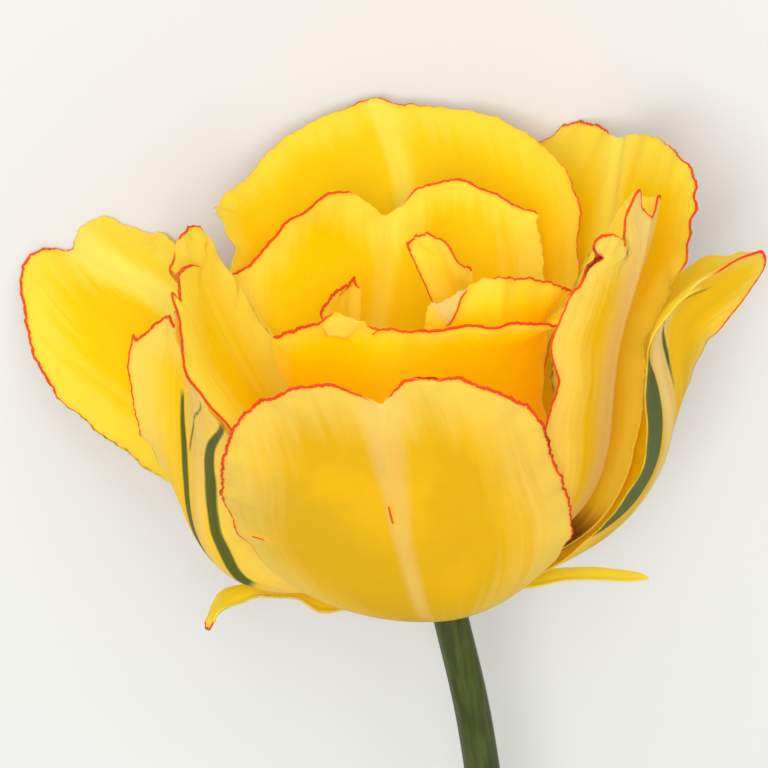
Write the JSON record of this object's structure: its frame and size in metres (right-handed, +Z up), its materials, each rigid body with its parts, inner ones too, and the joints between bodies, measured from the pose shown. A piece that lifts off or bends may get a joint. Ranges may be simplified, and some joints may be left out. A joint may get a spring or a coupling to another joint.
{
  "type": "tulip flower",
  "caption": "Cut semi-double tulip with yellow red-edged petals in layers, a bent stem and two leaves, lying on its side.",
  "frame": {"origin": "on the surface that the flower lies on, under the middle of the whole flower", "axes": "+Z up from the surface, +Y from the stem's cut end towards the bloom, +X to the right of the bloom seen from above with the bloom away"},
  "size_m": [0.1203, 0.3226, 0.0914],
  "materials": {
    "petal": "satin",
    "leaf": "satin",
    "stem": "satin",
    "pistil": "matte",
    "stamens": "matte"
  },
  "bodies": {
    "root": {"inner_petal_front": "petal", "outer_petal_right": "petal", "outer_petal_left": "petal", "side_petal_right": "petal", "inner_petal_left": "petal", "inner_petal_right": "petal", "outer_petal_back": "petal", "third_petal_right": "petal", "third_petal_back": "petal", "third_petal_left": "petal", "fourth_petal_front": "petal", "fourth_petal_right": "petal", "heart_petal_right": "petal", "heart_petal_left": "petal", "reflexed_petal_left": "petal", "reflexed_petal_right": "petal", "leaf_upper": "leaf", "leaf_lower": "leaf", "stem": "stem", "pistil": "pistil", "stamens": "stamens"}
  },
  "joints": []
}
